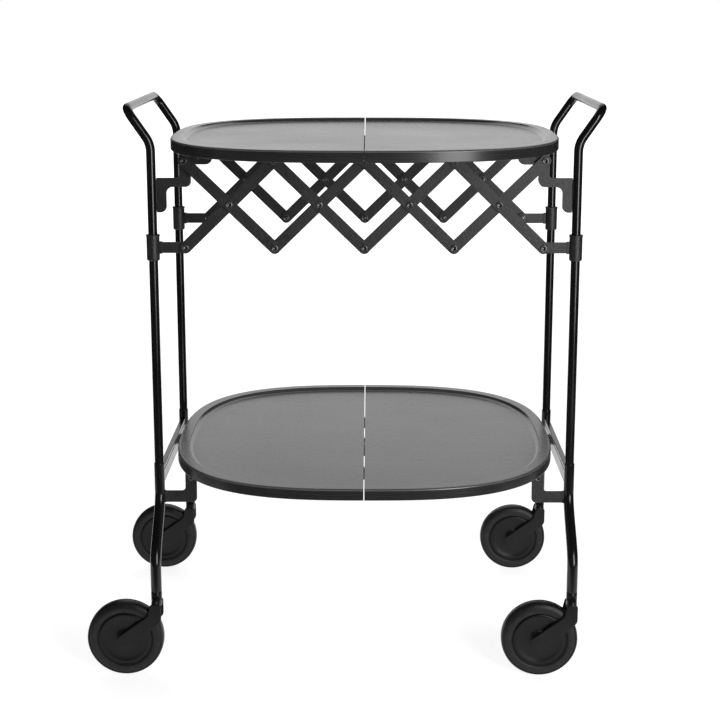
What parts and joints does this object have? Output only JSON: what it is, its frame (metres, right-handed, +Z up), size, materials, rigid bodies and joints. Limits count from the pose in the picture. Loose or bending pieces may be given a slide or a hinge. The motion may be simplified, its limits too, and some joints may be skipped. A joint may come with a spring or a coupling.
{
  "type": "folding serving trolley",
  "caption": "Black two-tier serving trolley on swivel casters that folds flat: hinged tray halves, scissor lattices and sliding collars between two tube frames.",
  "frame": {"origin": "on the floor under the middle of the trolley's overall box", "axes": "+Z up; X across the fold, from the left frame to the right frame; Y from front to rear along the tray split"},
  "size_m": [0.6559, 0.5018, 0.7266],
  "materials": {
    "frame_enamel": "gloss",
    "fitting_powder_coat": "matt, fine texture",
    "tray_laminate": "satin laminate",
    "pin_steel": "blackened",
    "caster_nylon": "satin",
    "tyre_rubber": "matt"
  },
  "bodies": {
    "left_frame": {"u_tube_left": "frame_enamel", "crossbar_left": "frame_enamel", "lower_leg_front_left": "frame_enamel", "upper_bracket_front_left": "fitting_powder_coat", "lower_bracket_front_left": "fitting_powder_coat", "lower_leg_rear_left": "frame_enamel", "upper_bracket_rear_left": "fitting_powder_coat", "lower_bracket_rear_left": "fitting_powder_coat"},
    "right_frame": {"u_tube_right": "frame_enamel", "crossbar_right": "frame_enamel", "lower_leg_front_right": "frame_enamel", "upper_bracket_front_right": "fitting_powder_coat", "lower_bracket_front_right": "fitting_powder_coat", "lower_leg_rear_right": "frame_enamel", "upper_bracket_rear_right": "fitting_powder_coat", "lower_bracket_rear_right": "fitting_powder_coat"},
    "upper_tray_left": {"upper_tray_half_left": "tray_laminate", "upper_hinge_pin_front": "pin_steel", "upper_hinge_pin_middle": "pin_steel", "upper_hinge_pin_rear": "pin_steel"},
    "upper_tray_right": {"upper_tray_half_right": "tray_laminate"},
    "lower_tray_left": {"lower_tray_half_left": "tray_laminate", "lower_hinge_pin_front": "pin_steel", "lower_hinge_pin_middle": "pin_steel", "lower_hinge_pin_rear": "pin_steel"},
    "lower_tray_right": {"lower_tray_half_right": "tray_laminate"},
    "falling_bar_1": {"falling_bar_front_1": "fitting_powder_coat", "falling_bar_rear_1": "fitting_powder_coat"},
    "rising_bar_1": {"rising_bar_front_1": "fitting_powder_coat", "rising_bar_rear_1": "fitting_powder_coat"},
    "falling_bar_2": {"falling_bar_front_2": "fitting_powder_coat", "falling_bar_rear_2": "fitting_powder_coat"},
    "rising_bar_2": {"rising_bar_front_2": "fitting_powder_coat", "rising_bar_rear_2": "fitting_powder_coat"},
    "falling_bar_3": {"falling_bar_front_3": "fitting_powder_coat", "falling_bar_rear_3": "fitting_powder_coat"},
    "rising_bar_3": {"rising_bar_front_3": "fitting_powder_coat", "rising_bar_rear_3": "fitting_powder_coat"},
    "falling_bar_4": {"falling_bar_front_4": "fitting_powder_coat", "falling_bar_rear_4": "fitting_powder_coat"},
    "rising_bar_4": {"rising_bar_front_4": "fitting_powder_coat", "rising_bar_rear_4": "fitting_powder_coat"},
    "sleeves_left": {"sleeve_front_left": "fitting_powder_coat", "sleeve_rear_left": "fitting_powder_coat"},
    "sleeves_right": {"sleeve_front_right": "fitting_powder_coat", "sleeve_rear_right": "fitting_powder_coat"},
    "caster_front_left": {"caster_fork_front_left": "caster_nylon"},
    "wheel_front_left": {"wheel_hub_front_left": "caster_nylon", "tyre_front_left": "tyre_rubber"},
    "caster_rear_left": {"caster_fork_rear_left": "caster_nylon"},
    "wheel_rear_left": {"wheel_hub_rear_left": "caster_nylon", "tyre_rear_left": "tyre_rubber"},
    "caster_front_right": {"caster_fork_front_right": "caster_nylon"},
    "wheel_front_right": {"wheel_hub_front_right": "caster_nylon", "tyre_front_right": "tyre_rubber"},
    "caster_rear_right": {"caster_fork_rear_right": "caster_nylon"},
    "wheel_rear_right": {"wheel_hub_rear_right": "caster_nylon", "tyre_rear_right": "tyre_rubber"}
  },
  "joints": [
    {"name": "fold", "type": "hinge", "parent": "left_frame", "child": "upper_tray_left", "pos_m": [-0.19755, 0, 0.6564], "axis": [0, -1, 0], "range_deg": [0, 77]},
    {"name": "upper_tray_hinge", "type": "hinge", "parent": "upper_tray_left", "child": "upper_tray_right", "pos_m": [0.02705, 0, 0.6564], "axis": [0, 1, 0], "range_deg": [0, 154]},
    {"name": "upper_tray_right_pivot", "type": "hinge", "parent": "upper_tray_right", "child": "right_frame", "pos_m": [0.25165, 0, 0.6564], "axis": [0, -1, 0], "range_deg": [0, 77]},
    {"name": "lower_tray_left_pivot", "type": "hinge", "parent": "left_frame", "child": "lower_tray_left", "pos_m": [-0.19755, 0, 0.2454], "axis": [0, -1, 0], "range_deg": [0, 77]},
    {"name": "lower_tray_hinge", "type": "hinge", "parent": "lower_tray_left", "child": "lower_tray_right", "pos_m": [0.02705, 0, 0.2454], "axis": [0, 1, 0], "range_deg": [0, 154]},
    {"name": "falling_bar_1_pivot", "type": "hinge", "parent": "left_frame", "child": "falling_bar_1", "pos_m": [-0.19755, 0, 0.6564], "axis": [0, 1, 0], "range_deg": [0, 36.5]},
    {"name": "cell_1_crossing", "type": "hinge", "parent": "falling_bar_1", "child": "rising_bar_1", "pos_m": [-0.1414, 0, 0.60165], "axis": [0, -1, 0], "range_deg": [0, 73]},
    {"name": "lattice_vertex_1", "type": "hinge", "parent": "falling_bar_1", "child": "rising_bar_2", "pos_m": [-0.08525, 0, 0.5469], "axis": [0, -1, 0], "range_deg": [0, 73]},
    {"name": "cell_2_crossing", "type": "hinge", "parent": "rising_bar_2", "child": "falling_bar_2", "pos_m": [-0.0291, 0, 0.60165], "axis": [0, 1, 0], "range_deg": [0, 73]},
    {"name": "sleeves_left_pivot", "type": "hinge", "parent": "rising_bar_1", "child": "sleeves_left", "pos_m": [-0.19755, 0, 0.5469], "axis": [0, 1, 0], "range_deg": [0, 36.5]},
    {"name": "rising_bar_4_pivot", "type": "hinge", "parent": "right_frame", "child": "rising_bar_4", "pos_m": [0.25165, 0, 0.6564], "axis": [0, -1, 0], "range_deg": [0, 36.5]},
    {"name": "cell_4_crossing", "type": "hinge", "parent": "rising_bar_4", "child": "falling_bar_4", "pos_m": [0.1955, 0, 0.60165], "axis": [0, 1, 0], "range_deg": [0, 73]},
    {"name": "lattice_vertex_3", "type": "hinge", "parent": "rising_bar_4", "child": "falling_bar_3", "pos_m": [0.13935, 0, 0.5469], "axis": [0, 1, 0], "range_deg": [0, 73]},
    {"name": "cell_3_crossing", "type": "hinge", "parent": "falling_bar_3", "child": "rising_bar_3", "pos_m": [0.0832, 0, 0.60165], "axis": [0, -1, 0], "range_deg": [0, 73]},
    {"name": "sleeves_right_pivot", "type": "hinge", "parent": "falling_bar_4", "child": "sleeves_right", "pos_m": [0.25165, 0, 0.5469], "axis": [0, -1, 0], "range_deg": [0, 36.5]},
    {"name": "swivel_front_left", "type": "hinge", "parent": "left_frame", "child": "caster_front_left", "pos_m": [-0.23845, -0.184, 0.1], "axis": [0, 0, 1], "continuous": true},
    {"name": "roll_front_left", "type": "hinge", "parent": "caster_front_left", "child": "wheel_front_left", "pos_m": [-0.27895, -0.184, 0.049], "axis": [0, 1, 0], "continuous": true},
    {"name": "swivel_rear_left", "type": "hinge", "parent": "left_frame", "child": "caster_rear_left", "pos_m": [-0.23845, 0.184, 0.1], "axis": [0, 0, 1], "continuous": true},
    {"name": "roll_rear_left", "type": "hinge", "parent": "caster_rear_left", "child": "wheel_rear_left", "pos_m": [-0.27895, 0.184, 0.049], "axis": [0, 1, 0], "continuous": true},
    {"name": "swivel_front_right", "type": "hinge", "parent": "right_frame", "child": "caster_front_right", "pos_m": [0.29255, -0.184, 0.1], "axis": [0, 0, 1], "continuous": true},
    {"name": "roll_front_right", "type": "hinge", "parent": "caster_front_right", "child": "wheel_front_right", "pos_m": [0.25205, -0.184, 0.049], "axis": [0, 1, 0], "continuous": true},
    {"name": "swivel_rear_right", "type": "hinge", "parent": "right_frame", "child": "caster_rear_right", "pos_m": [0.29255, 0.184, 0.1], "axis": [0, 0, 1], "continuous": true},
    {"name": "roll_rear_right", "type": "hinge", "parent": "caster_rear_right", "child": "wheel_rear_right", "pos_m": [0.25205, 0.184, 0.049], "axis": [0, 1, 0], "continuous": true}
  ],
  "couplings": [
    {"joint": "upper_tray_hinge", "follows": "fold", "ratio": 2},
    {"joint": "upper_tray_right_pivot", "follows": "fold", "ratio": 1},
    {"joint": "lower_tray_left_pivot", "follows": "fold", "ratio": 1},
    {"joint": "lower_tray_hinge", "follows": "fold", "ratio": 2},
    {"joint": "falling_bar_1_pivot", "follows": "fold", "ratio": 0.47344},
    {"joint": "cell_1_crossing", "follows": "fold", "ratio": 0.94688},
    {"joint": "lattice_vertex_1", "follows": "fold", "ratio": 0.94688},
    {"joint": "cell_2_crossing", "follows": "fold", "ratio": 0.94688},
    {"joint": "sleeves_left_pivot", "follows": "fold", "ratio": 0.47344},
    {"joint": "rising_bar_4_pivot", "follows": "fold", "ratio": 0.47344},
    {"joint": "cell_4_crossing", "follows": "fold", "ratio": 0.94688},
    {"joint": "lattice_vertex_3", "follows": "fold", "ratio": 0.94688},
    {"joint": "cell_3_crossing", "follows": "fold", "ratio": 0.94688},
    {"joint": "sleeves_right_pivot", "follows": "fold", "ratio": 0.47344}
  ]
}
